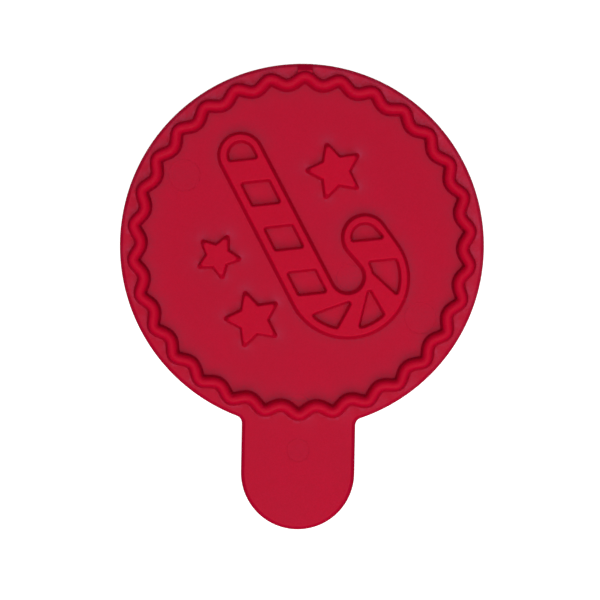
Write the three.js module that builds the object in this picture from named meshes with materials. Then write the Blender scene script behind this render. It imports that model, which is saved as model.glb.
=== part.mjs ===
// Cookie press: a flat round stamp with a thumb tab, moulded in one shot from red food-grade plastic.
// The stamp face carries a fluted border ridge, a candy cane with recessed stripes and three stars.
// Each feature of the moulding is a solid of its own, and the features meet face to face on the plate.
//
// Millimetres. The plate lies on z = 0 with its stamp face up (+Z), the centre of the disc is the
// origin, and the thumb tab points to -Y.

import * as THREE from 'three';

// ---- driving dimensions ------------------------------------------------------------------------

const DISC_RADIUS = 45;
const PLATE_THICKNESS = 2;
const EDGE_BEVEL = [               // the plate's bevelled front edge, from its upright side inwards
  { inset: 0, drop: 1.07 },
  { inset: 0.2, drop: 0.62 },
  { inset: 0.78, drop: 0.1 },
  { inset: 1.05, drop: 0 },
];
const TAB_WIDTH = 28.04;
const TAB_END_Y = -70.1;           // far end of the tab's half-round tip
const TAB_ROOT_FILLET = 1.9;       // hollow corner between the disc and each side of the tab
const SEAM_Y = -DISC_RADIUS;       // the disc hands over to the tab on this line

const RIDGE_MEAN_RADIUS = 40.6;    // of the crown line, which waves in and out about it
const RIDGE_WAVES = 30;
const WAVE_AMPLITUDE = 0.95;
const WAVE_SHARPENING = 0.065;     // second harmonic: narrower crests, wider troughs
const RIDGE_SECTION = [            // reach to either side of the crown line, and height on the plate
  { inward: 1.8, outward: 1.73, height: 0 },
  { inward: 1.32, outward: 1.35, height: 1.1 },
  { inward: 0.98, outward: 1, height: 2.25 },
  { inward: 0.42, outward: 0.42, height: 2.8 },
];

const RELIEF_HEIGHT = 2.15;        // candy cane and stars
const DRAFT_RUN = 0.5;             // how much a relief wall leans in from its foot to its top

const CANE_HALF_WIDTH = 5.45;
const CANE_RIM = 2.2;              // plain border between the cane's outline and its stripes
const STEM_END = [-15.47, 21.95];
const HOOK_CENTRE = [11.38, -7.44];
const HOOK_OUTER_RADIUS = 15.13;
const HOOK_INNER_RADIUS = 4.05;
const HOOK_TIP = { centre: [15.5, 2.32], radius: 5.55 };
const HOOK_TIGHTENING = { byRadius: 1, fromDegrees: -20 };  // the outer curve closes in near the tip
const STRIPE_PITCH = 12.36;
const STRIPE_LENGTH = 6.12;
const STRIPE_TILT = 7.3;           // degrees, of the stripes' cross edges against the X axis
const FIRST_STRIPE_END = 1.2;      // along the stem from the centre of its round end
const STRIPE_SHIFT = 0.12;         // the stem's stripes sit this far off its middle line
const WEDGES = [                   // the hook's two wedge stripes, as bearings from its centre
  { apex: -87.3, from: -128.5, to: -102 },
  { apex: -35, from: -73, to: -46.5 },
];
const SIDE_STRIPE = { innerFrom: 11.6, outerFrom: -15.6, outerTo: 22.5, innerTo: 30.3 };
const TIP_STRIPE = { leftBearing: 190, rightBearing: 4, rightReach: 3.8 };
const WINDOW_CORNER = 0.45;

const STARS = [
  { name: 'star_upper_right', centre: [7.76, 18.49], tip: 7.54, notch: 3.79, turn: 180 },
  { name: 'star_left', centre: [-20.59, -3.03], tip: 6.02, notch: 3.02, turn: -6.3 },
  { name: 'star_lower_left', centre: [-11.66, -18.4], tip: 7.54, notch: 3.79, turn: 180 },
];
const STAR_TIP_ROUND = 0.7;
const STAR_NOTCH_ROUND = 0.35;

const PIN_MARK_DEPTH = 0.04;       // flat round marks that the mould's ejector pins leave
const DISC_PIN_MARKS = [
  { centre: [-29.3, 16.8], diameter: 7.5 },
  { centre: [29.5, -17.3], diameter: 7.5 },
  { centre: [11.9, -7.7], diameter: 6.1 },
];
const TAB_PIN_MARK = { centre: [0, -50.5], diameter: 5.3 };

const GATE_WIDTH = 3.7;            // trimmed stub of the injection gate, at the disc's +Y edge
const GATE_SECTION = [             // y and height on the plate, down over the bevel
  [43.45, 0], [43.9, 0], [44.2, -0.04], [44.8, -0.55], [44.88, -0.55], [44.88, -0.38], [43.45, 1.15],
];

const RED = 0xb21830;

// ---- small helpers -----------------------------------------------------------------------------

const radians = THREE.MathUtils.degToRad;
const polar = (centre, radius, degrees) => [
  centre[0] + radius * Math.cos(radians(degrees)),
  centre[1] + radius * Math.sin(radians(degrees)),
];
const distance = (a, b) => Math.hypot(b[0] - a[0], b[1] - a[1]);
const heading = (a, b) => Math.atan2(b[1] - a[1], b[0] - a[0]);

/** Collects loops of points at given heights and closes them with walls and caps into one solid. */
class Solid {
  constructor() {
    this.positions = [];
    this.faces = [];
  }

  loop(points, z) {
    const first = this.positions.length / 3;
    for (const [x, y] of points) this.positions.push(x, y, z);
    return { points, indices: points.map((_, i) => first + i) };
  }

  /** Joins two loops of equal length, the second one above or inside the first. */
  wall(lower, upper) {
    const count = lower.indices.length;
    for (let i = 0; i < count; i++) {
      const next = (i + 1) % count;
      const [a, b] = [lower.indices[i], lower.indices[next]];
      const [c, d] = [upper.indices[next], upper.indices[i]];
      this.faces.push(a, b, c, a, c, d);
    }
  }

  /** Fills a loop, leaving out the hole loops, with its face up (+1) or down (-1). */
  cap(outer, holes, side) {
    const toVectors = (loop) => loop.points.map(([x, y]) => new THREE.Vector2(x, y));
    const triangles = THREE.ShapeUtils.triangulateShape(toVectors(outer), holes.map(toVectors));
    const points = [outer, ...holes].flatMap((loop) => loop.points);
    const indices = [outer, ...holes].flatMap((loop) => loop.indices);
    for (const [i, j, k] of triangles) {
      const [p, q, r] = [points[i], points[j], points[k]];
      const area = (q[0] - p[0]) * (r[1] - p[1]) - (q[1] - p[1]) * (r[0] - p[0]);
      const [second, third] = area * side > 0 ? [j, k] : [k, j];
      this.faces.push(indices[i], indices[second], indices[third]);
    }
  }

  geometry() {
    const result = new THREE.BufferGeometry();
    result.setAttribute('position', new THREE.Float32BufferAttribute(this.positions, 3));
    result.setIndex(this.faces);
    result.computeVertexNormals();
    return result;
  }
}

const circlePoints = (centre, radius, count) =>
  Array.from({ length: count }, (_, i) => polar(centre, radius, (360 * i) / count));

/**
 * An outline like a belt laid round circles and joined by their common tangents, counter-clockwise.
 * Each circle is { centre, radius, side }, where side is +1 on the belt's inside and -1 on its
 * outside. Growing the belt by an offset changes only the radii, so offset belts match point by point.
 */
function belt(circles, offset = 0) {
  const count = circles.length;
  const leaving = circles.map((circle, i) => {
    const next = circles[(i + 1) % count];
    const difference = circle.side * circle.radius - next.side * next.radius;
    const lean = THREE.MathUtils.clamp(difference / distance(circle.centre, next.centre), -1, 1);
    return heading(circle.centre, next.centre) - Math.acos(lean);
  });
  return circles.flatMap(({ centre, radius, side }, i) => {
    const from = leaving[(i + count - 1) % count];
    const turn = THREE.MathUtils.euclideanModulo(side * (leaving[i] - from), 2 * Math.PI);
    const reach = side * radius + offset;
    const steps = Math.max(2, Math.round(turn * Math.sqrt(radius) * 3));
    return Array.from({ length: steps + 1 }, (_, k) => {
      const angle = from + (side * turn * k) / steps;
      return [centre[0] + reach * Math.cos(angle), centre[1] + reach * Math.sin(angle)];
    });
  });
}

/** The belt circles that round the corners of a polygon, given counter-clockwise. */
function roundedCorners(corners, outerRadius, innerRadius = outerRadius) {
  const count = corners.length;
  return corners.map((corner, i) => {
    const before = heading(corner, corners[(i + count - 1) % count]);
    const after = heading(corner, corners[(i + 1) % count]);
    const opening = THREE.MathUtils.euclideanModulo(before - after, 2 * Math.PI);
    const side = opening < Math.PI ? 1 : -1;
    const radius = side > 0 ? outerRadius : innerRadius;
    const middle = after + opening / 2;
    const away = radius / Math.sin(opening / 2);
    const centre = [
      corner[0] + side * away * Math.cos(middle),
      corner[1] + side * away * Math.sin(middle),
    ];
    return { centre, radius, side };
  });
}

/** A raised pad on the plate with leaning walls, and with windows down to the plate. */
function reliefPad(outline, windows = []) {
  const solid = new Solid();
  const foot = PLATE_THICKNESS;
  const top = PLATE_THICKNESS + RELIEF_HEIGHT;
  const lean = DRAFT_RUN / 2;
  const outerFoot = solid.loop(belt(outline, lean), foot);
  const outerTop = solid.loop(belt(outline, -lean), top);
  const holesFoot = windows.map((window) => solid.loop(belt(window, -lean), foot));
  const holesTop = windows.map((window) => solid.loop(belt(window, lean), top));
  solid.wall(outerFoot, outerTop);
  holesFoot.forEach((hole, i) => solid.wall(holesTop[i], hole));
  solid.cap(outerFoot, holesFoot, -1);
  solid.cap(outerTop, holesTop, 1);
  return solid.geometry();
}

// ---- plate: disc and thumb tab -----------------------------------------------------------------

const DISC_SEGMENTS = 96;
const TAB_SEGMENTS = 24;
const FILLET_SEGMENTS = 5;

const tabHalf = TAB_WIDTH / 2;
const filletX = tabHalf + TAB_ROOT_FILLET;
const filletY = -Math.sqrt((DISC_RADIUS + TAB_ROOT_FILLET) ** 2 - filletX ** 2);
const filletTurn = THREE.MathUtils.radToDeg(Math.atan2(-filletY, filletX));

/** Points along an arc, both ends included. */
function arcPoints(centre, radius, fromDegrees, toDegrees, steps) {
  return Array.from({ length: steps + 1 }, (_, i) =>
    polar(centre, radius, fromDegrees + ((toDegrees - fromDegrees) * i) / steps));
}

/** Disc outline from the seam's right end, counter-clockwise to its left end, pulled in by inset. */
function discOutline(inset) {
  const hollow = TAB_ROOT_FILLET + inset;
  return [
    [tabHalf - inset, SEAM_Y],
    ...arcPoints([filletX, filletY], hollow, 180, 180 - filletTurn, FILLET_SEGMENTS),
    ...arcPoints([0, 0], DISC_RADIUS - inset, -filletTurn, 180 + filletTurn, DISC_SEGMENTS).slice(1, -1),
    ...arcPoints([-filletX, filletY], hollow, filletTurn, 0, FILLET_SEGMENTS),
    [-tabHalf + inset, SEAM_Y],
  ];
}

/** Tab outline from the seam's left end round the tip to its right end, pulled in by inset. */
function tabOutline(inset) {
  return [
    [-tabHalf + inset, SEAM_Y],
    ...arcPoints([0, TAB_END_Y + tabHalf], tabHalf - inset, 180, 360, TAB_SEGMENTS),
    [tabHalf - inset, SEAM_Y],
  ];
}

/** A stretch of the plate: flat back, upright side, bevel, flat front with pin marks in it. */
function plateSolid(outlineAt, pinMarks) {
  const solid = new Solid();
  const bottom = solid.loop(outlineAt(0), 0);
  let rim = bottom;
  for (const { inset, drop } of EDGE_BEVEL) {
    const next = solid.loop(outlineAt(inset), PLATE_THICKNESS - drop);
    solid.wall(rim, next);
    rim = next;
  }
  const marks = pinMarks.map(({ centre, diameter }) => {
    const points = circlePoints(centre, diameter / 2, 24);
    const mouth = solid.loop(points, PLATE_THICKNESS);
    const floor = solid.loop(points, PLATE_THICKNESS - PIN_MARK_DEPTH);
    solid.wall(mouth, floor);
    solid.cap(floor, [], 1);
    return mouth;
  });
  solid.cap(bottom, [], -1);
  solid.cap(rim, marks, 1);
  return solid.geometry();
}

// ---- fluted border ridge -----------------------------------------------------------------------

const STATIONS_PER_WAVE = 8;

/** Radius of the ridge's crown line. An outward wave points to +Y, so the waves count from there. */
function ridgeRadius(angle) {
  const phase = RIDGE_WAVES * (angle - Math.PI / 2);
  return RIDGE_MEAN_RADIUS + WAVE_AMPLITUDE * Math.cos(phase) + WAVE_SHARPENING * Math.cos(2 * phase);
}

/** Outermost (+1) or innermost (-1) radius that a round cutter running along the crown line reaches. */
function cutterRadius(angle, cutter, side) {
  const reach = cutter / (RIDGE_MEAN_RADIUS - WAVE_AMPLITUDE);
  const samples = 48;
  let best = side > 0 ? 0 : Infinity;
  for (let i = 0; i <= samples; i++) {
    const shift = reach * ((2 * i) / samples - 1);
    const radius = ridgeRadius(angle + shift);
    const across = radius * Math.sin(shift);
    if (Math.abs(across) > cutter) continue;
    const along = radius * Math.cos(shift) + side * Math.sqrt(cutter ** 2 - across ** 2);
    best = side > 0 ? Math.max(best, along) : Math.min(best, along);
  }
  return best;
}

function ridgeGeometry() {
  const solid = new Solid();
  const count = RIDGE_WAVES * STATIONS_PER_WAVE;
  const ring = (reach, height, side) => {
    const points = Array.from({ length: count }, (_, i) => {
      const angle = Math.PI / 2 + (2 * Math.PI * i) / count;
      const radius = cutterRadius(angle, reach, side);
      return [radius * Math.cos(angle), radius * Math.sin(angle)];
    });
    return solid.loop(points, PLATE_THICKNESS + height);
  };
  const outer = RIDGE_SECTION.map(({ outward, height }) => ring(outward, height, 1));
  const inner = RIDGE_SECTION.map(({ inward, height }) => ring(inward, height, -1)).reverse();
  const section = [...outer, ...inner];
  section.forEach((loop, i) => solid.wall(loop, section[(i + 1) % section.length]));
  return solid.geometry();
}

// ---- candy cane --------------------------------------------------------------------------------

// The stem's middle line touches a circle about the hook's centre, midway between the two radii.
const stemSpan = distance(STEM_END, HOOK_CENTRE);
const stemLean = Math.asin((HOOK_OUTER_RADIUS - CANE_HALF_WIDTH) / stemSpan);
const stemHeading = heading(STEM_END, HOOK_CENTRE) - stemLean;
const stemAlong = [Math.cos(stemHeading), Math.sin(stemHeading)];
const stemAcross = [-stemAlong[1], stemAlong[0]];

const stemPoint = (along, across) => [
  STEM_END[0] + along * stemAlong[0] + across * stemAcross[0],
  STEM_END[1] + along * stemAlong[1] + across * stemAcross[1],
];

/** Where a tilted stripe edge that crosses the middle line at a station meets a line beside it. */
function stripeCorner(station, across) {
  const slope = 1 / Math.tan(radians(STRIPE_TILT) - stemHeading);
  const side = across + STRIPE_SHIFT;
  return stemPoint(station + side * slope, side);
}

const tighterRadius = HOOK_OUTER_RADIUS - HOOK_TIGHTENING.byRadius;
const tighterCentre = polar(HOOK_CENTRE, HOOK_TIGHTENING.byRadius, HOOK_TIGHTENING.fromDegrees);

const caneOutline = [
  { centre: STEM_END, radius: CANE_HALF_WIDTH, side: 1 },
  { centre: HOOK_CENTRE, radius: HOOK_OUTER_RADIUS, side: 1 },
  { centre: tighterCentre, radius: tighterRadius, side: 1 },
  { centre: HOOK_TIP.centre, radius: HOOK_TIP.radius, side: 1 },
  { centre: HOOK_CENTRE, radius: HOOK_INNER_RADIUS, side: -1 },
];

const corner = (centre) => ({ centre, radius: WINDOW_CORNER, side: 1 });
const windowHalf = CANE_HALF_WIDTH - CANE_RIM;
const windowOuter = HOOK_OUTER_RADIUS - CANE_RIM;
const windowInner = HOOK_INNER_RADIUS + CANE_RIM;

/** The window in the stem's round end: the first stripe, cut off by the end's arc. */
function stemEndWindow() {
  const right = stripeCorner(FIRST_STRIPE_END - WINDOW_CORNER, windowHalf - WINDOW_CORNER);
  const left = stripeCorner(FIRST_STRIPE_END - WINDOW_CORNER, WINDOW_CORNER - windowHalf);
  return [corner(left), corner(right), { centre: stemPoint(0, STRIPE_SHIFT), radius: windowHalf, side: 1 }];
}

function stemWindow(index) {
  const end = FIRST_STRIPE_END + index * STRIPE_PITCH;
  const start = end - STRIPE_LENGTH;
  const corners = [
    stripeCorner(start, -windowHalf),
    stripeCorner(end, -windowHalf),
    stripeCorner(end, windowHalf),
    stripeCorner(start, windowHalf),
  ];
  return roundedCorners(corners, WINDOW_CORNER);
}

/** A wedge that fans out from the hook's inner rim to its outer rim. */
function wedgeWindow({ apex, from, to }) {
  return [
    corner(polar(HOOK_CENTRE, windowInner + WINDOW_CORNER, apex)),
    corner(polar(HOOK_CENTRE, windowOuter - WINDOW_CORNER, from)),
    { centre: HOOK_CENTRE, radius: windowOuter, side: 1 },
    corner(polar(HOOK_CENTRE, windowOuter - WINDOW_CORNER, to)),
  ];
}

/** The four-sided stripe on the right of the hook. */
function hookSideWindow() {
  const outer = tighterRadius - CANE_RIM;
  return [
    { centre: HOOK_CENTRE, radius: windowInner, side: -1 },
    corner(polar(HOOK_CENTRE, windowInner + WINDOW_CORNER, SIDE_STRIPE.innerFrom)),
    corner(polar(tighterCentre, outer - WINDOW_CORNER, SIDE_STRIPE.outerFrom)),
    { centre: tighterCentre, radius: outer, side: 1 },
    corner(polar(tighterCentre, outer - WINDOW_CORNER, SIDE_STRIPE.outerTo)),
    corner(polar(HOOK_CENTRE, windowInner + WINDOW_CORNER, SIDE_STRIPE.innerTo)),
  ];
}

/** The window in the hook's round tip. */
function hookTipWindow() {
  const radius = HOOK_TIP.radius - CANE_RIM;
  return [
    corner(polar(HOOK_TIP.centre, radius - WINDOW_CORNER, TIP_STRIPE.leftBearing)),
    corner(polar(HOOK_TIP.centre, TIP_STRIPE.rightReach, TIP_STRIPE.rightBearing)),
    { centre: HOOK_TIP.centre, radius, side: 1 },
  ];
}

const caneWindows = [
  stemEndWindow(),
  stemWindow(1),
  stemWindow(2),
  stemWindow(3),
  ...WEDGES.map(wedgeWindow),
  hookSideWindow(),
  hookTipWindow(),
];

// ---- stars -------------------------------------------------------------------------------------

function starOutline({ centre, tip, notch, turn }) {
  const corners = Array.from({ length: 10 }, (_, i) =>
    polar(centre, i % 2 === 0 ? tip : notch, turn + 36 * i));
  return roundedCorners(corners, STAR_TIP_ROUND, STAR_NOTCH_ROUND);
}

// ---- gate stub ---------------------------------------------------------------------------------

/** A short ramp outside the ridge, down to the disc's edge, square across. */
function gateGeometry() {
  const section = new THREE.Shape(GATE_SECTION.map(([y, height]) => new THREE.Vector2(y, height)));
  const stub = new THREE.ExtrudeGeometry(section, { depth: GATE_WIDTH, bevelEnabled: false });
  stub.rotateY(Math.PI / 2);
  stub.rotateX(Math.PI / 2);
  return stub;
}

// ---- assembly ----------------------------------------------------------------------------------

const glossyRed = () =>
  new THREE.MeshStandardMaterial({ color: RED, roughness: 0.35, metalness: 0 });

const press = new THREE.Group();

function addFeature(name, geometry) {
  const mesh = new THREE.Mesh(geometry, glossyRed());
  mesh.name = name;
  press.add(mesh);
  return mesh;
}

addFeature('stamp_disc', plateSolid(discOutline, DISC_PIN_MARKS));
addFeature('handle_tab', plateSolid(tabOutline, [TAB_PIN_MARK]));
addFeature('fluted_ridge', ridgeGeometry());
addFeature('candy_cane', reliefPad(caneOutline, caneWindows));
for (const star of STARS) addFeature(star.name, reliefPad(starOutline(star)));

const gate = addFeature('gate_stub', gateGeometry());
gate.position.set(-GATE_WIDTH / 2, 0, PLATE_THICKNESS);

export default press;
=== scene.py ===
"""Cookie press: a one-piece red plastic stamp with a thumb tab, a fluted ridge and a picture in relief.

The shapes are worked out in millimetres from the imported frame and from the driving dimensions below, and
become metres where a mesh is made. The outlines are those of the CAD model. The edges, fillets and drafts
are rounder and finer here.
"""

import math

import bpy
import numpy as np
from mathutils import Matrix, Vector
from mathutils.geometry import delaunay_2d_cdt, tessellate_polygon
from mathutils.kdtree import KDTree


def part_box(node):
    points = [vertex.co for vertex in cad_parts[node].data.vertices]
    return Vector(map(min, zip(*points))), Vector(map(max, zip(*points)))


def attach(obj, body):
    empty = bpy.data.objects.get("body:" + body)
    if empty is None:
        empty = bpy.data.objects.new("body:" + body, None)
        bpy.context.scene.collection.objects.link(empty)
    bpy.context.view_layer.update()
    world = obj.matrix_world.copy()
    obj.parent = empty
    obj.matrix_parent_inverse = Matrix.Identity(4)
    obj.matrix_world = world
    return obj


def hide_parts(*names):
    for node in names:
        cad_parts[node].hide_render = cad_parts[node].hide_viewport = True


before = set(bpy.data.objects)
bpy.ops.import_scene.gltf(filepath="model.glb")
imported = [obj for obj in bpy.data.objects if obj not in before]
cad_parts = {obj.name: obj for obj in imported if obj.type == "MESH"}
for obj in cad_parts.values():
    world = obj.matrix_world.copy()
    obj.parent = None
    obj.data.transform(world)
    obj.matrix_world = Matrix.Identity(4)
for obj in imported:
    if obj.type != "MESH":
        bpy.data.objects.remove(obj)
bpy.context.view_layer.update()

MM = 0.001

# ---- sizes from the frame ------------------------------------------------------------------------


def node_box(node):
    """A CAD node's lowest and highest corners, in millimetres."""
    low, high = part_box(node)
    return low / MM, high / MM


PLATE_TOP = node_box("stamp_disc")[1].z
RELIEF_TOP = node_box("candy_cane")[1].z
RIDGE_TOP = node_box("fluted_ridge")[1].z
TAB_HALF = node_box("handle_tab")[1].x
TAB_END_Y = node_box("handle_tab")[0].y
DISC_RADIUS = -node_box("handle_tab")[1].y  # the tab starts on the disc's tangent

# ---- driving dimensions --------------------------------------------------------------------------

BEVEL_SLOPE = 42  # degrees, of the front edge's flat bevel
BEVEL_LENGTH = 0.78
BEVEL_TOP_ROUND = 0.4
BEVEL_FOOT_ROUND = 0.6
BACK_EDGE_ROUND = 0.15
TAB_ROOT_FILLET = 1.9

RIDGE_MEAN_RADIUS = 40.6  # of the crown line
RIDGE_WAVES = 30
WAVE_AMPLITUDE = 0.95
WAVE_SHARPENING = 0.065
RIDGE_FOOT_REACH = (1.65, 1.58)  # from the crown line inwards and outwards
RIDGE_SHOULDER_REACH = (1.32, 1.35)
RIDGE_SHOULDER_DROP = 1.7  # from the ridge's top down to where its round top starts

CANE_HALF_WIDTH = 5.45
CANE_RIM = 2.2
WINDOW_SHIFT = 0.12  # the stem's windows sit this far off its middle line
STEM_END = (-15.47, 21.95)
HOOK_CENTRE = (11.38, -7.44)
HOOK_OUTER_RADIUS = 15.13
HOOK_INNER_RADIUS = 4.05
HOOK_TIP_CENTRE = (15.5, 2.32)
HOOK_TIP_RADIUS = 5.55
HOOK_TIGHTER_BY = 1.0  # the hook's outside is tighter by this where it turns towards its tip
HOOK_TIGHTER_FROM = -20  # bearing at which it starts to be tighter
STRIPE_PITCH = 12.36
STRIPE_LENGTH = 6.12
STRIPE_TILT = 7.3
FIRST_STRIPE_END = 1.2
WEDGES = (  # the hook's wedge stripes: bearings of apex, start and end, from its centre
    (-87.3, -128.5, -102),
    (-35, -73, -46.5),
)
SIDE_STRIPE_INNER = (11.6, 30.3)  # bearings of the side stripe's corners, from the hook's centre
SIDE_STRIPE_OUTER = (-15.6, 22.5)  # the same on the outside, from the tighter arc's centre
TIP_STRIPE_BEARINGS = (190, 4)  # of the tip stripe's two corners, from the hook tip's centre
TIP_STRIPE_REACH = 3.8  # of its second corner
WINDOW_CORNER = 0.45

STARS = {  # centre, sharp tip radius, sharp notch radius and turn of each star
    "star_upper_right": ((7.76, 18.49), 7.54, 3.79, 180),
    "star_left": ((-20.59, -3.03), 6.02, 3.02, -6.3),
    "star_lower_left": ((-11.66, -18.4), 7.54, 3.79, 180),
}
STAR_TIP_ROUND = 0.7
STAR_NOTCH_ROUND = 0.35

WALL_LEAN = 0.2  # half of a relief wall's draft between its foot fillet and its top round
CANE_LEAN = 0.32  # the same for the cane's outer wall
FOOT_FILLET = 0.15
FOOT_SINK = 0.005  # how far under the plate's face a foot fillet starts
TOP_ROUND = 0.45
EMBED = 0.12  # how deep a feature's skirt reaches into the plate
FLAT_RING = 0.04  # narrow flat band that keeps a cap's shading flat up to its rounded edge

PIN_MARKS = (  # centre x, y and diameter of the ejector-pin marks
    (-29.3, 16.8, 7.5),
    (29.5, -17.3, 7.5),
    (11.9, -7.7, 6.1),
    (0.0, -39.4, 4.9),  # cut by the ridge, and not in the CAD model
    (0.0, -50.5, 5.3),
)
MARK_MOUTH = 0.2  # how far outside a mark's radius its lip starts
MARK_PROFILE = (  # reach beyond the radius and height over the plate, from the mouth to the floor
    (MARK_MOUTH, 0),
    (0.16, 0),
    (0.06, 0.01),
    (-0.02, -0.01),
    (-0.1, -0.022),
    (-0.14, -0.022),
)

GATE_WIDTH = 3.7
GATE_EDGE_Y = math.sqrt(DISC_RADIUS**2 - (GATE_WIDTH / 2) ** 2) - 0.02  # just inside the disc's edge
GATE_SECTION = (  # y and height over the plate; it starts and ends inside the ridge
    (42.4, -0.5),
    (GATE_EDGE_Y, -1.2),
    (GATE_EDGE_Y, -0.6),
    (43.3, 1.3),
    (43.1, 1.45),
    (42.4, 1.5),
)
GATE_END_ROUND = 0.12
GATE_END_STEPS = ((0, 0.12), (0.4, 0.04), (1, 0))  # share of the end's round, and the section's shrinkage

# ---- painted shade and painted sheen near walls, and the pin marks' tint -------------------------

SHADE_AND_SHEEN_FADE = 1.7  # distance from the foot of a wall over which its painted shade and sheen fade by a factor of e
SHADOW_SIDE = (0.4, 0.92)  # direction from a wall in which its painted shadow is strongest, away from the key light, of about unit length
SHADE_ONE_SIDED = 0.25  # share of the painted shade that depends on that direction
SHEEN_ONE_SIDED = 0.5  # the same for the painted sheen
RIM_SHADE = 0.2  # outside the ridge
RIM_SHEEN = 0.62
STAR_SHADE = 0.8
STAR_SHEEN = 0.45
MARK_TINT = 0.15  # least dark tint on the floor of a pin mark, for the pin face's own duller finish

RIDGE_SHADE_INSET = 0.4  # the ridge's inner wall gets painted shade from here inwards of its crown line
RIDGE_SHADE_TOP = 1.9  # height over the plate at which that painted shade starts
RIDGE_SHADE_DROP = 0.8  # it is full this far below
RIDGE_SHADE_LEAST = 0.4  # its strength on the Y axis, against 1 on the X axis

# ---- fineness of the meshes ----------------------------------------------------------------------

ARC_SPACING = 0.16  # between the points on a belt's round stretches
SMALL_ROUND = 0.5  # rounds smaller than this get as many points as one of this radius
DISC_STEPS = 420
TIP_STEPS = 110
FILLET_STEPS = 14
MARK_STEPS = 96
STEPS_PER_WAVE = 28
CUTTER_SAMPLES = 401  # of the crown line, within a cutter's reach
NET_STEP = 0.9  # between the points of the net that fills the plate's front
NET_MARGIN = 1.6  # between that net and the plate's outline
NET_CLEARANCE = 0.35  # between that net and the mouth of a pin mark
MARK_COVER = 0.15  # the net's triangles are left out up to this far beyond a mark's radius

# ---- outlines ------------------------------------------------------------------------------------


def polar(centre, radius, degrees):
    """The point at a radius and a bearing from a centre."""
    angle = math.radians(degrees)
    return (centre[0] + radius * math.cos(angle), centre[1] + radius * math.sin(angle))


def heading(a, b):
    """The direction from a to b, in radians."""
    return math.atan2(b[1] - a[1], b[0] - a[0])


def arc(centre, radius, start, end, steps):
    return [polar(centre, radius, start + (end - start) * i / steps) for i in range(steps + 1)]


def belt(circles, offset):
    """A belt laid counter-clockwise round circles (centre, radius, side) and joined by their tangents.

    side is +1 for a circle on the belt's inside and -1 on its outside. An offset changes only the radii,
    so belts at different offsets match point by point.
    """
    count = len(circles)
    leaving = []
    for i, (centre, radius, side) in enumerate(circles):
        next_centre, next_radius, next_side = circles[(i + 1) % count]
        lean = (side * radius - next_side * next_radius) / math.dist(centre, next_centre)
        leaving.append(heading(centre, next_centre) - math.acos(max(-1.0, min(1.0, lean))))
    points = []
    for i, (centre, radius, side) in enumerate(circles):
        start = leaving[i - 1]
        turn = (side * (leaving[i] - start)) % (2 * math.pi)
        reach = side * radius + offset
        steps = max(4, math.ceil(turn * max(radius, SMALL_ROUND) / ARC_SPACING - 1e-6))
        for k in range(steps + 1):
            angle = start + side * turn * k / steps
            points.append((centre[0] + reach * math.cos(angle), centre[1] + reach * math.sin(angle)))
    return points


def rounded_corners(corners, outer_radius, inner_radius):
    """The belt circles that round the corners of a polygon, given counter-clockwise."""
    circles = []
    for i, corner in enumerate(corners):
        before = heading(corner, corners[i - 1])
        after = heading(corner, corners[(i + 1) % len(corners)])
        opening = (before - after) % (2 * math.pi)
        side = 1 if opening < math.pi else -1
        radius = outer_radius if side > 0 else inner_radius
        middle = after + opening / 2
        away = side * radius / math.sin(opening / 2)
        centre = (corner[0] + away * math.cos(middle), corner[1] + away * math.sin(middle))
        circles.append((centre, radius, side))
    return circles


def plate_outline(inset):
    """Disc and tab in one outline, counter-clockwise, pulled in by inset."""
    fillet_x = TAB_HALF + TAB_ROOT_FILLET
    fillet_y = -math.sqrt((DISC_RADIUS + TAB_ROOT_FILLET) ** 2 - fillet_x**2)
    turn = math.degrees(math.atan2(-fillet_y, fillet_x))
    hollow = TAB_ROOT_FILLET + inset
    disc = arc((0, 0), DISC_RADIUS - inset, -turn, 180 + turn, DISC_STEPS)
    tip = arc((0, TAB_END_Y + TAB_HALF), TAB_HALF - inset, 180, 360, TIP_STEPS)
    right = arc((fillet_x, fillet_y), hollow, 180, 180 - turn, FILLET_STEPS)
    left = arc((-fillet_x, fillet_y), hollow, turn, 0, FILLET_STEPS)
    return right + disc[1:-1] + left + tip


# The cane's stem runs from its round end to the hook, midway between the hook's two radii.
STEM_LEAN = math.asin((HOOK_OUTER_RADIUS - CANE_HALF_WIDTH) / math.dist(STEM_END, HOOK_CENTRE))
STEM_HEADING = heading(STEM_END, HOOK_CENTRE) - STEM_LEAN
TIGHTER_RADIUS = HOOK_OUTER_RADIUS - HOOK_TIGHTER_BY
TIGHTER_CENTRE = polar(HOOK_CENTRE, HOOK_TIGHTER_BY, HOOK_TIGHTER_FROM)


def stem_point(along, across):
    """The point at a distance along the stem from its round end, and to the left of its middle line."""
    c, s = math.cos(STEM_HEADING), math.sin(STEM_HEADING)
    return (STEM_END[0] + along * c - across * s, STEM_END[1] + along * s + across * c)


def stripe_corner(station, across):
    """Where a tilted stripe edge that crosses the stem's middle line at a station meets a line beside it."""
    slope = 1 / math.tan(math.radians(STRIPE_TILT) - STEM_HEADING)
    return stem_point(station + (across + WINDOW_SHIFT) * slope, across + WINDOW_SHIFT)


def cane_outline(offset):
    """The cane's outline, moved out by offset."""
    circles = [
        (STEM_END, CANE_HALF_WIDTH, 1),
        (HOOK_CENTRE, HOOK_OUTER_RADIUS, 1),
        (TIGHTER_CENTRE, TIGHTER_RADIUS, 1),
        (HOOK_TIP_CENTRE, HOOK_TIP_RADIUS, 1),
        (HOOK_CENTRE, HOOK_INNER_RADIUS, -1),
    ]
    return belt(circles, offset)


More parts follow.
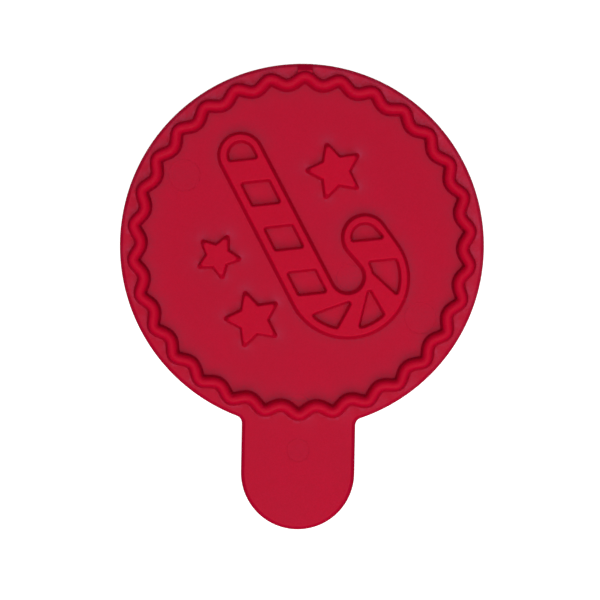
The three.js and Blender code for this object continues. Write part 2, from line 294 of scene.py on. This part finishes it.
def cane_windows():
    """The belt circles of the eight windows that make the cane's stripes."""
    half = CANE_HALF_WIDTH - CANE_RIM
    outer = HOOK_OUTER_RADIUS - CANE_RIM - WINDOW_CORNER
    inner = HOOK_INNER_RADIUS + CANE_RIM + WINDOW_CORNER
    tip = HOOK_TIP_RADIUS - CANE_RIM

    def corner(centre):
        return (centre, WINDOW_CORNER, 1)

    def stem_end():
        station = FIRST_STRIPE_END - WINDOW_CORNER
        reach = half - WINDOW_CORNER
        left, right = stripe_corner(station, -reach), stripe_corner(station, reach)
        return [corner(left), corner(right), (stem_point(0, WINDOW_SHIFT), half, 1)]

    def stem(index):
        end = FIRST_STRIPE_END + index * STRIPE_PITCH
        start = end - STRIPE_LENGTH
        places = ((start, -half), (end, -half), (end, half), (start, half))
        return rounded_corners([stripe_corner(*place) for place in places], WINDOW_CORNER, WINDOW_CORNER)

    def wedge(apex, start, end):
        return [
            corner(polar(HOOK_CENTRE, inner, apex)),
            corner(polar(HOOK_CENTRE, outer, start)),
            (HOOK_CENTRE, outer + WINDOW_CORNER, 1),
            corner(polar(HOOK_CENTRE, outer, end)),
        ]

    def hook_side():
        reach = TIGHTER_RADIUS - CANE_RIM
        inner_start, inner_end = (corner(polar(HOOK_CENTRE, inner, bearing)) for bearing in SIDE_STRIPE_INNER)
        outer_start, outer_end = (corner(polar(TIGHTER_CENTRE, reach - WINDOW_CORNER, bearing))
                                  for bearing in SIDE_STRIPE_OUTER)
        return [
            (HOOK_CENTRE, inner - WINDOW_CORNER, -1),
            inner_start,
            outer_start,
            (TIGHTER_CENTRE, reach, 1),
            outer_end,
            inner_end,
        ]

    def hook_tip():
        reaches = (tip - WINDOW_CORNER, TIP_STRIPE_REACH)
        corners = [corner(polar(HOOK_TIP_CENTRE, reach, bearing))
                   for reach, bearing in zip(reaches, TIP_STRIPE_BEARINGS)]
        return [*corners, (HOOK_TIP_CENTRE, tip, 1)]

    stripes = [stem_end()] + [stem(index) for index in (1, 2, 3)]
    return stripes + [wedge(*bearings) for bearings in WEDGES] + [hook_side(), hook_tip()]


def star_loop(shape, offset):
    """A star's outline with its edges moved out by offset."""
    middle, tip, notch, turn = shape
    corner = math.radians(36)
    side = math.sqrt(tip**2 + notch**2 - 2 * tip * notch * math.cos(corner))
    scale = 1 + offset * side / (tip * notch * math.sin(corner))
    corners = [polar(middle, (tip if i % 2 == 0 else notch) * scale, turn + 36 * i) for i in range(10)]
    return belt(rounded_corners(corners, STAR_TIP_ROUND, STAR_NOTCH_ROUND), 0)


# ---- meshes --------------------------------------------------------------------------------------


class Shell:
    """Loops of points joined by walls and caps into one closed skin."""

    def __init__(self):
        self.vertices = []
        self.faces = []

    def loop(self, points, z):
        first = len(self.vertices)
        self.vertices += [(x, y, z) for x, y in points]
        return list(range(first, len(self.vertices)))

    def wall(self, lower, upper):
        for i in range(len(lower)):
            after = (i + 1) % len(lower)
            self.faces.append((lower[i], lower[after], upper[after], upper[i]))

    def cap(self, outer, holes=(), side=1):
        """Fills a loop, less its holes, facing up (+1) or down (-1)."""
        rings = [outer, *holes]
        indices = [i for ring in rings for i in ring]
        for triangle in tessellate_polygon([[Vector(self.vertices[i]) for i in ring] for ring in rings]):
            a, b, c = (indices[i] for i in triangle)
            (ax, ay, _), (bx, by, _), (cx, cy, _) = (self.vertices[i] for i in (a, b, c))
            area = (bx - ax) * (cy - ay) - (by - ay) * (cx - ax)
            self.faces.append((a, b, c) if area * side > 0 else (a, c, b))

    def piece(self, name, material):
        mesh = bpy.data.meshes.new(name)
        mesh.from_pydata([(x * MM, y * MM, z * MM) for x, y, z in self.vertices], [], self.faces)
        mesh.validate()
        mesh.shade_smooth()
        mesh.materials.append(material)
        made = bpy.data.objects.new(name, mesh)
        bpy.context.scene.collection.objects.link(made)
        return made


def foot_levels(wall, steps):
    """(reach, height over the plate) up a skirt and the fillet that meets a wall at the given reach."""
    foot = wall + FOOT_FILLET
    levels = [(foot, -EMBED)]
    for i in range(steps + 1):
        angle = math.pi / 2 * i / steps
        levels.append((foot - FOOT_FILLET * math.sin(angle), FOOT_FILLET * (1 - math.cos(angle)) - FOOT_SINK))
    return levels


def relief_profile(lean):
    """(offset from the wall's middle line, height over the plate) from a feature's foot to its flat top."""
    height = RELIEF_TOP - PLATE_TOP
    steps = 6
    levels = foot_levels(lean, steps)
    for i in range(steps + 1):
        angle = math.pi / 2 * i / steps
        offset = -lean - TOP_ROUND * (1 - math.cos(angle))
        levels.append((offset, height - TOP_ROUND * (1 - math.sin(angle))))
    levels.append((levels[-1][0] - FLAT_RING, height))
    return levels


def relief(name, outline_at, windows, material, lean=WALL_LEAN):
    """A raised feature with leaning walls, rounded top edges, and windows down to the plate."""
    shell = Shell()
    rings = []
    for (offset, height), (window_offset, _) in zip(relief_profile(lean), relief_profile(WALL_LEAN)):
        z = PLATE_TOP + height
        outer = shell.loop(outline_at(offset), z)
        holes = [shell.loop(belt(window, -window_offset), z) for window in windows]
        rings.append((outer, holes))
    for (lower, lower_holes), (upper, upper_holes) in zip(rings, rings[1:]):
        shell.wall(lower, upper)
        for under, over in zip(lower_holes, upper_holes):
            shell.wall(over, under)
    shell.cap(rings[0][0], rings[0][1], -1)
    shell.cap(rings[-1][0], rings[-1][1], 1)
    return shell.piece(name, material)


def edge_profile():
    """(inset, height) from the plate's flat back, up its edge and over the bevel, to the flat front."""
    back_steps, bevel_steps = 4, 8
    slope = math.radians(BEVEL_SLOPE)
    foot, top = BEVEL_FOOT_ROUND, BEVEL_TOP_ROUND
    run = BEVEL_LENGTH * math.cos(slope)
    rise = BEVEL_LENGTH * math.sin(slope)
    inset = foot * (1 - math.sin(slope)) + run + top * math.sin(slope)
    drop = foot * math.cos(slope) + rise + top * (1 - math.cos(slope))
    levels = []
    for i in range(back_steps + 1):  # round the back edge
        angle = math.pi / 2 * i / back_steps
        levels.append((BACK_EDGE_ROUND * (1 - math.sin(angle)), BACK_EDGE_ROUND * (1 - math.cos(angle))))
    for i in range(bevel_steps + 1):  # from upright to the bevel's slope
        lean = math.pi / 2 - (math.pi / 2 - slope) * i / bevel_steps
        levels.append((foot * (1 - math.sin(lean)), PLATE_TOP - drop + foot * math.cos(lean)))
    for i in range(bevel_steps + 1):  # from the bevel's slope to flat
        lean = slope * (1 - i / bevel_steps)
        levels.append((inset - top * math.sin(lean), PLATE_TOP - top * (1 - math.cos(lean))))
    return levels + [(inset + FLAT_RING, PLATE_TOP)]


def plate(name, material, plain_feet, star_feet):
    """Flat back, upright edge, bevel and flat front, with the ejector-pin marks in it."""
    shell = Shell()
    back = shell.loop(plate_outline(BACK_EDGE_ROUND + FLAT_RING), 0)
    ring = back
    for inset, z in edge_profile():
        upper = shell.loop(plate_outline(inset), z)
        shell.wall(ring, upper)
        ring = upper
    mouths = []
    for x, y, diameter in PIN_MARKS:
        radius = diameter / 2
        loops = []
        for reach, height in MARK_PROFILE:
            circle = arc((x, y), radius + reach, 0, 360, MARK_STEPS)[:-1]
            loops.append(shell.loop(circle, PLATE_TOP + height))
        for outer, inner in zip(loops, loops[1:]):
            shell.wall(outer, inner)
        shell.cap(loops[-1])
        mouths.append((loops[0], (x, y), radius))
    shell.cap(back, side=-1)
    front(shell, ring, mouths)
    made = shell.piece(name, material)
    add_shade_sheen_and_mark_tint(made, plain_feet, star_feet)
    return made


def front(shell, ring, mouths):
    """Fills the plate's front with a fine net of triangles, so that it can carry the painted shade and sheen.
    """
    loops = [ring] + [loop for loop, _, _ in mouths]
    indices = [i for loop in loops for i in loop]
    edges = []
    for loop in loops:
        first = indices.index(loop[0])
        edges += [(first + k, first + (k + 1) % len(loop)) for k in range(len(loop))]
    tip_centre = (0, TAB_END_Y + TAB_HALF)

    def has_room(point):
        """Whether a point is well inside the plate's outline and clear of the pin marks."""
        x, y = point
        in_disc = math.hypot(x, y) < DISC_RADIUS - NET_MARGIN
        beside_tip = y > tip_centre[1] or math.dist(point, tip_centre) < TAB_HALF - NET_MARGIN
        in_tab = abs(x) < TAB_HALF - NET_MARGIN and y < 0 and beside_tip
        clear = all(math.dist(point, centre) - radius - MARK_MOUTH > NET_CLEARANCE
                    for _, centre, radius in mouths)
        return (in_disc or in_tab) and clear

    net = []
    columns = math.ceil(DISC_RADIUS / NET_STEP)
    for row in range(int((DISC_RADIUS - TAB_END_Y) / NET_STEP)):
        y = DISC_RADIUS - row * NET_STEP
        for column in range(-columns, columns + 1):
            x = (column + 0.5 * (row % 2)) * NET_STEP
            if has_room((x, y)):
                net.append((x, y))
    indices += shell.loop(net, PLATE_TOP)
    flat = [Vector(shell.vertices[i][:2]) for i in indices]
    inside_only, nearness = 1, 1e-6
    outline = list(range(len(ring)))
    points, _, triangles, origins, _, _ = delaunay_2d_cdt(flat, edges, [outline], inside_only, nearness)
    for triangle in triangles:
        middle = sum((points[i] for i in triangle), Vector((0, 0))) / 3
        if all(math.dist(middle, centre) >= radius + MARK_COVER for _, centre, radius in mouths):
            shell.faces.append(tuple(indices[origins[i][0]] for i in triangle))


def add_shade_sheen_and_mark_tint(plate_piece, plain_feet, star_feet):
    """Paints shade on the plate by how close each point is to the foot of a wall, stronger on the side away
    from the key light, and gives the pin marks' floors a dark tint of their own finish.

    Round the stars, and on the rim outside the ridge, it also paints a pale sheen that lifts that shade.
    """
    feet = plain_feet + star_feet
    tree = KDTree(len(feet))
    for i, (x, y) in enumerate(feet):
        tree.insert((x, y, 0), i)
    tree.balance()
    shade_and_mark_values, sheen_values = [], []
    for vertex in plate_piece.data.vertices:
        x, y = vertex.co.x / MM, vertex.co.y / MM
        foot, index, distance = tree.find((x, y, 0))
        # painted shadow: stronger on the side of each wall away from the key light
        away = (SHADOW_SIDE[0] * (x - foot.x) + SHADOW_SIDE[1] * (y - foot.y)) / max(distance, 0.01)
        near = math.exp(-distance / SHADE_AND_SHEEN_FADE)
        darkening = near * (1 - SHADE_ONE_SIDED + SHADE_ONE_SIDED * away)
        sheen_side = 1 - SHEEN_ONE_SIDED + SHEEN_ONE_SIDED * away
        sheen = 0.0
        # outside the ridge and round the stars, a pale painted sheen lifts the painted shade
        if math.hypot(x, y) > RIDGE_MEAN_RADIUS:
            darkening, sheen = darkening * RIM_SHADE, near * RIM_SHEEN * sheen_side
        elif index >= len(plain_feet):
            darkening, sheen = darkening * STAR_SHADE, near**2 * STAR_SHEEN * sheen_side
        # the floors of the pin marks keep at least a dark tint of their own duller finish
        if any(math.dist((x, y), (mark_x, mark_y)) < width / 2 for mark_x, mark_y, width in PIN_MARKS):
            darkening = max(darkening, MARK_TINT)
        shade_and_mark_values.append(darkening)
        sheen_values.append(sheen)
    for name, values in (("painted_shade_and_mark_tint", shade_and_mark_values), ("painted_sheen", sheen_values)):
        plate_piece.data.attributes.new(name, "FLOAT", "POINT").data.foreach_set("value", values)


def ridge_centre(angles):
    """The crown line's radius at the given angles."""
    phase = RIDGE_WAVES * (angles - math.pi / 2)
    return RIDGE_MEAN_RADIUS + WAVE_AMPLITUDE * np.cos(phase) + WAVE_SHARPENING * np.cos(2 * phase)


def cutter_radius(angles, cutter, side):
    """Outermost (+1) or innermost (-1) radius of a round cutter that runs along the ridge's centreline."""
    reach = cutter / (RIDGE_MEAN_RADIUS - WAVE_AMPLITUDE)
    shifts = np.linspace(-reach, reach, CUTTER_SAMPLES)
    radius = ridge_centre(angles[:, None] + shifts[None, :])
    inside = cutter**2 - (radius * np.sin(shifts)) ** 2
    along = radius * np.cos(shifts) + side * np.sqrt(np.maximum(inside, 0))
    if side > 0:
        return np.where(inside >= 0, along, -np.inf).max(axis=1)
    return np.where(inside >= 0, along, np.inf).min(axis=1)


def ridge_profile(foot_reach, shoulder_reach):
    """(reach from the crown line, height over the plate) up one side of the ridge."""
    foot_steps, wall_steps, top_steps = 5, 5, 11
    shoulder = RIDGE_TOP - PLATE_TOP - RIDGE_SHOULDER_DROP
    levels = foot_levels(foot_reach, foot_steps)
    for i in range(1, wall_steps):
        t = i / wall_steps
        levels.append((foot_reach + (shoulder_reach - foot_reach) * t,
                       FOOT_FILLET + (shoulder - FOOT_FILLET) * t))
    for i in range(top_steps):
        angle = math.pi / 2 * i / top_steps
        levels.append((shoulder_reach * math.cos(angle), shoulder + RIDGE_SHOULDER_DROP * math.sin(angle)))
    return levels


def ridge(name, material):
    """The fluted border: a wall with a round top that waves round the plate, with painted shade on its inner
    side.
    """
    shell = Shell()
    count = RIDGE_WAVES * STEPS_PER_WAVE
    angles = np.arange(count) * (2 * math.pi / count) + math.pi / 2

    def ring(radii, z):
        return shell.loop(list(zip(radii * np.cos(angles), radii * np.sin(angles))), z)

    def side_rings(side, foot_reach, shoulder_reach):
        return [ring(cutter_radius(angles, reach, side), PLATE_TOP + height)
                for reach, height in ridge_profile(foot_reach, shoulder_reach)]

    inner, outer = (side_rings(*numbers) for numbers in zip((-1, 1), RIDGE_FOOT_REACH, RIDGE_SHOULDER_REACH))
    crown = ring(ridge_centre(angles), RIDGE_TOP)
    section = outer + [crown] + inner[::-1]
    for lower, upper in zip(section, section[1:] + section[:1]):
        shell.wall(lower, upper)
    made = shell.piece(name, material)
    # painted shade on the ridge's inner wall, darker where it faces ±X
    painted_shade_and_mark_tint = made.data.attributes.new("painted_shade_and_mark_tint", "FLOAT", "POINT")
    for vertex, value in zip(made.data.vertices, painted_shade_and_mark_tint.data):
        x, y, z = vertex.co / MM
        radius = math.hypot(x, y)
        if radius < ridge_centre(math.atan2(y, x)) - RIDGE_SHADE_INSET:
            depth = (PLATE_TOP + RIDGE_SHADE_TOP - z) / RIDGE_SHADE_DROP
            strength = RIDGE_SHADE_LEAST + (1 - RIDGE_SHADE_LEAST) * abs(x) / radius
            value.value = min(1, max(0, depth)) * strength
    return made


def gate(name, material):
    """The trimmed injection gate: a ramp from the ridge's outer side down to the disc's edge."""
    shell = Shell()
    section = [(y, PLATE_TOP + height) for y, height in GATE_SECTION]
    middle_y, middle_z = (sum(values) / len(section) for values in zip(*section))

    def side_loop(x, shrink):
        first = len(shell.vertices)
        for y, z in section:
            shell.vertices.append((x, y + (middle_y - y) * shrink, z + (middle_z - z) * shrink))
        return list(range(first, len(shell.vertices)))

    end = [(GATE_WIDTH / 2 - GATE_END_ROUND * share, shrink) for share, shrink in GATE_END_STEPS]
    stations = [(-x, shrink) for x, shrink in end] + end[::-1]
    loops = [side_loop(x, shrink) for x, shrink in stations]
    for left, right in zip(loops, loops[1:]):
        shell.wall(left, right)
    shell.faces.append(tuple(reversed(loops[0])))
    shell.faces.append(tuple(loops[-1]))
    made = shell.piece(name, material)
    made.data.set_sharp_from_angle(angle=math.radians(30))
    return made


# ---- material ------------------------------------------------------------------------------------

CLOUD_SCALE = 60  # this and the scales below are noise frequencies, per metre
WAVE_SCALE = 140
PATCH_SCALE = 1500
SPECK_SCALE = 2300
FLECK_SCALE = 2600
GRAIN_SCALE = 5200
NOISE_ROUGHNESS = 0.55
WAVE_DEPTH = 0.12 * MM
GRAIN_DEPTH = 0.02 * MM
SCATTER_DEPTH = (1.2 * MM, 0.2 * MM, 0.3 * MM)
FLECK_GREEN_BLUE = (0.03, 0.07)

PLATE_RED = (0.492, 0.0004, 0.025)
# painted shade beside walls, and a painted sheen that lifts it; the shade colour also tints the pin marks'
# floors
PLATE_PAINTED_SHADING = {"painted_shade_and_mark_tint": (0.35, 0.012, 0.038), "painted_sheen": (0.52, 0.045, 0.11)}
# the plate's own red made lighter for the raised parts, painted light on their tops
RELIEF_RED_LIT = (0.53, 0.0003, 0.023)
# painted shade on the ridge's inner wall
RELIEF_PAINTED_SHADE = {"painted_shade_and_mark_tint": (0.28, 0.0002, 0.016)}


def red_plastic(name, colour, roughness, gloss, painted_shading):
    """Moulded plastic: a cloudy tint with dark specks and pale flecks, a fine grain and slow waves.

    Each painted shade or sheen colour shows where the mesh attribute of that name is high.
    """
    material = bpy.data.materials.new(name)
    material.use_nodes = True
    tree = material.node_tree
    nodes, links = tree.nodes, tree.links
    shader = nodes["Principled BSDF"]
    shader.inputs["IOR"].default_value = 1.49
    shader.inputs["Specular IOR Level"].default_value = gloss
    shader.inputs["Subsurface Weight"].default_value = 0.25
    shader.inputs["Subsurface Radius"].default_value = SCATTER_DEPTH
    shader.inputs["Subsurface Scale"].default_value = 1.0

    place = nodes.new("ShaderNodeTexCoord")

    def noise(scale, detail):
        node = nodes.new("ShaderNodeTexNoise")
        node.inputs["Scale"].default_value = scale
        node.inputs["Detail"].default_value = detail
        node.inputs["Roughness"].default_value = NOISE_ROUGHNESS
        links.new(place.outputs["Object"], node.inputs["Vector"])
        return node.outputs["Fac"]

    def remap(value, low, high, to_low, to_high):
        node = nodes.new("ShaderNodeMapRange")
        node.inputs["From Min"].default_value = low
        node.inputs["From Max"].default_value = high
        node.inputs["To Min"].default_value = to_low
        node.inputs["To Max"].default_value = to_high
        links.new(value, node.inputs["Value"])
        return node.outputs["Result"]

    def mix(factor, a, b):
        node = nodes.new("ShaderNodeMix")
        node.data_type = "RGBA"
        links.new(factor, node.inputs["Factor"])
        for socket, value in (("A", a), ("B", b)):
            if isinstance(value, tuple):
                node.inputs[socket].default_value = (*value, 1)
            else:
                links.new(value, node.inputs[socket])
        return node.outputs["Result"]

    def multiply(a, b):
        node = nodes.new("ShaderNodeMath")
        node.operation = "MULTIPLY"
        links.new(a, node.inputs[0])
        links.new(b, node.inputs[1])
        return node.outputs["Value"]

    def bump(height, strength, depth):
        node = nodes.new("ShaderNodeBump")
        node.inputs["Strength"].default_value = strength
        node.inputs["Distance"].default_value = depth
        links.new(height, node.inputs["Height"])
        return node

    def shade(factor):
        return tuple(channel * factor for channel in colour)

    tint = mix(remap(noise(CLOUD_SCALE, 3), 0.3, 0.7, 0, 1), shade(0.96), shade(1.04))
    tint = mix(remap(noise(SPECK_SCALE, 1), 0.25, 0.75, 0, 0.55), tint, shade(0.82))
    tint = mix(remap(noise(FLECK_SCALE, 1), 0.3, 0.7, 0, 0.1), tint, (colour[0], *FLECK_GREEN_BLUE))
    patchy = remap(noise(PATCH_SCALE, 3), 0.3, 0.7, 0.35, 1.35)
    # painted shade and painted sheen, mixed in where their attributes are high
    for attribute, painted_colour in painted_shading.items():
        near = nodes.new("ShaderNodeAttribute")
        near.attribute_name = attribute
        tint = mix(multiply(near.outputs["Fac"], patchy), tint, painted_colour)
    links.new(tint, shader.inputs["Base Color"])

    satin = remap(noise(CLOUD_SCALE, 2), 0.3, 0.7, roughness - 0.04, roughness + 0.05)
    links.new(satin, shader.inputs["Roughness"])

    grain = bump(noise(GRAIN_SCALE, 2), 0.12, GRAIN_DEPTH)
    wave = bump(noise(WAVE_SCALE, 2), 0.35, WAVE_DEPTH)
    links.new(grain.outputs["Normal"], wave.inputs["Normal"])
    links.new(wave.outputs["Normal"], shader.inputs["Normal"])
    return material


# ---- stage: sizes in metres and angles in degrees ------------------------------------------------

CAMERA_HEIGHT = 0.46  # over the plate's front
VIEW_WIDTH = 147.97 * MM
VIEW_TURN = 1.09
VIEW_CENTRE = (-0.22 * MM, -13.4 * MM)
FLOOR_HALF = 0.9
FLOOR_DROP = 0.02 * MM  # keeps the floor's face clear of the plate's back


def add_camera():
    """A camera straight above the press, slightly turned."""
    data = bpy.data.cameras.new("camera")
    data.sensor_width = 36
    data.lens = data.sensor_width * CAMERA_HEIGHT / VIEW_WIDTH
    data.clip_start = 0.01
    camera = bpy.data.objects.new("camera", data)
    camera.location = (VIEW_CENTRE[0], VIEW_CENTRE[1], CAMERA_HEIGHT + PLATE_TOP * MM)
    camera.rotation_euler = (0, 0, math.radians(VIEW_TURN))
    bpy.context.scene.collection.objects.link(camera)
    bpy.context.scene.camera = camera


def add_light(name, azimuth, elevation, distance, size, power):
    """A square area light that faces the press from a bearing, counted from +X."""
    data = bpy.data.lights.new(name, "AREA")
    data.size = size
    data.energy = power
    light = bpy.data.objects.new(name, data)
    flat = distance * math.cos(math.radians(elevation))
    place = Vector((flat * math.cos(math.radians(azimuth)), flat * math.sin(math.radians(azimuth)),
                    distance * math.sin(math.radians(elevation))))
    light.location = place
    light.rotation_euler = place.to_track_quat("Z", "Y").to_euler()
    bpy.context.scene.collection.objects.link(light)


def add_world(strength, falloff):
    """A soft white dome, brightest overhead and dark at the horizon."""
    world = bpy.data.worlds.new("world")
    bpy.context.scene.world = world
    world.use_nodes = True
    nodes, links = world.node_tree.nodes, world.node_tree.links
    place = nodes.new("ShaderNodeTexCoord")
    facing = nodes.new("ShaderNodeVectorMath")
    facing.operation = "DOT_PRODUCT"
    facing.inputs[1].default_value = (0, 0, 1)
    links.new(place.outputs["Generated"], facing.inputs[0])
    kept = facing.outputs["Value"]
    for operation, value in (("MAXIMUM", 0.0), ("POWER", falloff), ("MULTIPLY", strength)):
        step = nodes.new("ShaderNodeMath")
        step.operation = operation
        step.inputs[1].default_value = value
        links.new(kept, step.inputs[0])
        kept = step.outputs["Value"]
    background = nodes["Background"]
    background.inputs["Color"].default_value = (1, 1, 1, 1)
    links.new(kept, background.inputs["Strength"])


def add_floor():
    """A white floor that lights itself, hidden from bounced light so that it doesn't tint the press."""
    mesh = bpy.data.meshes.new("floor")
    corners = [(-1, -1), (1, -1), (1, 1), (-1, 1)]
    mesh.from_pydata([(x * FLOOR_HALF, y * FLOOR_HALF, -FLOOR_DROP) for x, y in corners], [], [(0, 1, 2, 3)])
    floor = bpy.data.objects.new("floor", mesh)
    bpy.context.scene.collection.objects.link(floor)
    material = bpy.data.materials.new("floor_white")
    material.use_nodes = True
    shader = material.node_tree.nodes["Principled BSDF"]
    shader.inputs["Base Color"].default_value = (0.92, 0.92, 0.92, 1)
    shader.inputs["Roughness"].default_value = 0.9
    shader.inputs["Emission Color"].default_value = (1, 1, 1, 1)
    shader.inputs["Emission Strength"].default_value = 0.6
    mesh.materials.append(material)
    floor.visible_glossy = False
    floor.visible_diffuse = False


# ---- the press -----------------------------------------------------------------------------------


def wall_foot(piece):
    """Where a feature meets the plate: the lowest points of its foot fillet, in millimetres."""
    return [(v.co.x / MM, v.co.y / MM) for v in piece.data.vertices
            if abs(v.co.z / MM - PLATE_TOP) < 2 * FOOT_SINK]


def build_press():
    """Makes the pieces and ties each to the CAD nodes that it stands for."""
    # the plate carries painted shade and painted sheen beside its walls
    plate_red = red_plastic("plate_red", PLATE_RED, roughness=0.4, gloss=0.068, painted_shading=PLATE_PAINTED_SHADING)
    # raised parts: a lighter copy of the plate's red as painted light, with painted shade on the ridge's
    # inner wall
    relief_red_lit = red_plastic("relief_red_lit", RELIEF_RED_LIT, roughness=0.36, gloss=0.044, painted_shading=RELIEF_PAINTED_SHADE)
    made = {}

    made["border_ridge"] = (ridge("border_ridge", relief_red_lit), ("fluted_ridge",), "relief_plastic")
    cane = relief("cane_relief", cane_outline, cane_windows(), relief_red_lit, CANE_LEAN)
    made["cane_relief"] = (cane, ("candy_cane",), "relief_plastic")
    for node, star in STARS.items():
        name = node + "_relief"
        piece = relief(name, lambda offset: star_loop(star, offset), [], relief_red_lit)
        made[name] = (piece, (node,), "relief_plastic")
    made["gate_ramp"] = (gate("gate_ramp", plate_red), ("gate_stub",), "plate_plastic")

    plain_feet = [foot for name in ("border_ridge", "cane_relief") for foot in wall_foot(made[name][0])]
    star_feet = [foot for node in STARS for foot in wall_foot(made[node + "_relief"][0])]
    plate_piece = plate("plate", plate_red, plain_feet, star_feet)
    made["plate"] = (plate_piece, ("stamp_disc", "handle_tab"), "plate_plastic")

    for piece, nodes, slot in made.values():
        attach(piece, "root")
        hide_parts(*nodes)


add_camera()
build_press()
add_floor()
add_world(strength=1.755, falloff=3)
add_light("key", azimuth=-80, elevation=50, distance=0.9, size=0.6, power=3.3)
bpy.context.scene.view_settings.view_transform = "Standard"
